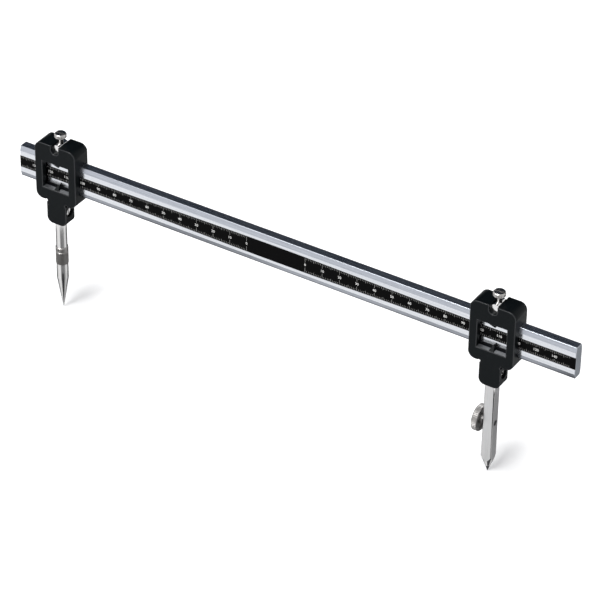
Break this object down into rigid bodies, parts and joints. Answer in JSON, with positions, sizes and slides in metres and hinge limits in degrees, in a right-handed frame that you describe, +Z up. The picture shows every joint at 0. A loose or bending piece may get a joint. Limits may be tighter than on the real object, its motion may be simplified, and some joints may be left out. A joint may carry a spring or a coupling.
{
  "type": "beam compass",
  "caption": "Beam compass with a scaled flat beam, sliding clamp heads, a steel needle leg and a square pencil-lead leg with a knurled clamp wheel.",
  "frame": {"origin": "tip of the needle, where the compass stands on the drawing", "axes": "+X along the beam towards the lead leg, +Y to the back of the beam, +Z up"},
  "size_m": [0.325, 0.0147, 0.1066],
  "materials": {
    "beam_aluminium": "satin anodised, drawn lengthwise",
    "scale_black": "smooth black with white print",
    "head_plastic": "fine-grained black moulding",
    "bright_steel": "bright turned and plated",
    "knurled_steel": "plated, knurled",
    "satin_steel": "satin ground",
    "brass": "plain turned",
    "graphite": "sharpened graphite"
  },
  "bodies": {
    "beam_body": {"beam": "beam_aluminium", "scale_band": "scale_black"},
    "left_slider": {"left_head": "head_plastic", "left_cross_nut": "bright_steel", "left_insert": "brass"},
    "right_slider": {"right_head": "head_plastic", "right_cross_nut": "bright_steel", "right_insert": "brass"},
    "left_pad": {"left_shoe": "brass"},
    "right_pad": {"right_shoe": "brass"},
    "left_clamp": {"left_clamp_screw": "knurled_steel"},
    "right_clamp": {"right_clamp_screw": "knurled_steel"},
    "left_grub": {"left_leg_screw": "bright_steel"},
    "right_grub": {"right_leg_screw": "bright_steel"},
    "needle_leg": {"needle_shank": "bright_steel"},
    "collar": {"needle_collar": "knurled_steel"},
    "point": {"needle_point": "bright_steel"},
    "lead_leg": {"lead_holder": "satin_steel"},
    "lead_stick": {"lead": "graphite"},
    "plug": {"press_plug": "brass"},
    "wheel": {"clamp_wheel": "knurled_steel", "wheel_stud": "bright_steel"}
  },
  "joints": [
    {"name": "left_head_slide", "type": "slide", "parent": "beam_body", "child": "left_slider", "axis": [1, 0, 0], "range_m": [-0.0125, 0.114]},
    {"name": "right_head_slide", "type": "slide", "parent": "beam_body", "child": "right_slider", "axis": [1, 0, 0], "range_m": [-0.108, 0.031]},
    {"name": "left_clamp_lift", "type": "slide", "parent": "left_slider", "child": "left_pad", "axis": [0, 0, 1], "range_m": [0, 0.001]},
    {"name": "left_clamp_turn", "type": "hinge", "parent": "left_pad", "child": "left_clamp", "pos_m": [0, 0.00202, 0.1054], "axis": [0, 0, 1], "range_deg": [0, 720]},
    {"name": "right_clamp_lift", "type": "slide", "parent": "right_slider", "child": "right_pad", "axis": [0, 0, 1], "range_m": [0, 0.001]},
    {"name": "right_clamp_turn", "type": "hinge", "parent": "right_pad", "child": "right_clamp", "pos_m": [0.2565, 0.00202, 0.1054], "axis": [0, 0, 1], "range_deg": [0, 720]},
    {"name": "left_leg_screw_turn", "type": "hinge", "parent": "left_slider", "child": "left_grub", "pos_m": [0.004, 0, 0.0616], "axis": [1, 0, 0], "range_deg": [0, 360]},
    {"name": "right_leg_screw_turn", "type": "hinge", "parent": "right_slider", "child": "right_grub", "pos_m": [0.2605, 0, 0.0616], "axis": [1, 0, 0], "range_deg": [0, 360]},
    {"name": "needle_leg_slide", "type": "slide", "parent": "left_slider", "child": "needle_leg", "axis": [0, 0, 1], "range_m": [-0.006, 0]},
    {"name": "collar_turn", "type": "hinge", "parent": "needle_leg", "child": "collar", "pos_m": [0, 0, 0.0335], "axis": [0, 0, 1], "range_deg": [-360, 0]},
    {"name": "point_slide", "type": "slide", "parent": "needle_leg", "child": "point", "axis": [0, 0, 1], "range_m": [-0.008, 0]},
    {"name": "lead_leg_turn", "type": "hinge", "parent": "right_slider", "child": "lead_leg", "pos_m": [0.2565, 0, 0.054], "axis": [0, 0, 1], "range_deg": [-180, 180]},
    {"name": "lead_slide", "type": "slide", "parent": "lead_leg", "child": "lead_stick", "axis": [0, 0, 1], "range_m": [-0.006, 0.0025]},
    {"name": "plug_slide", "type": "slide", "parent": "lead_leg", "child": "plug", "axis": [-1, 0, 0], "range_m": [0, 0.001]},
    {"name": "wheel_turn", "type": "hinge", "parent": "plug", "child": "wheel", "pos_m": [0.2518, 0, 0.0305], "axis": [-1, 0, 0], "range_deg": [0, 720]}
  ],
  "couplings": [
    {"joint": "left_clamp_turn", "follows": "left_clamp_lift", "rad_per_m": 12566},
    {"joint": "right_clamp_turn", "follows": "right_clamp_lift", "rad_per_m": 12566},
    {"joint": "wheel_turn", "follows": "plug_slide", "rad_per_m": 12566}
  ]
}
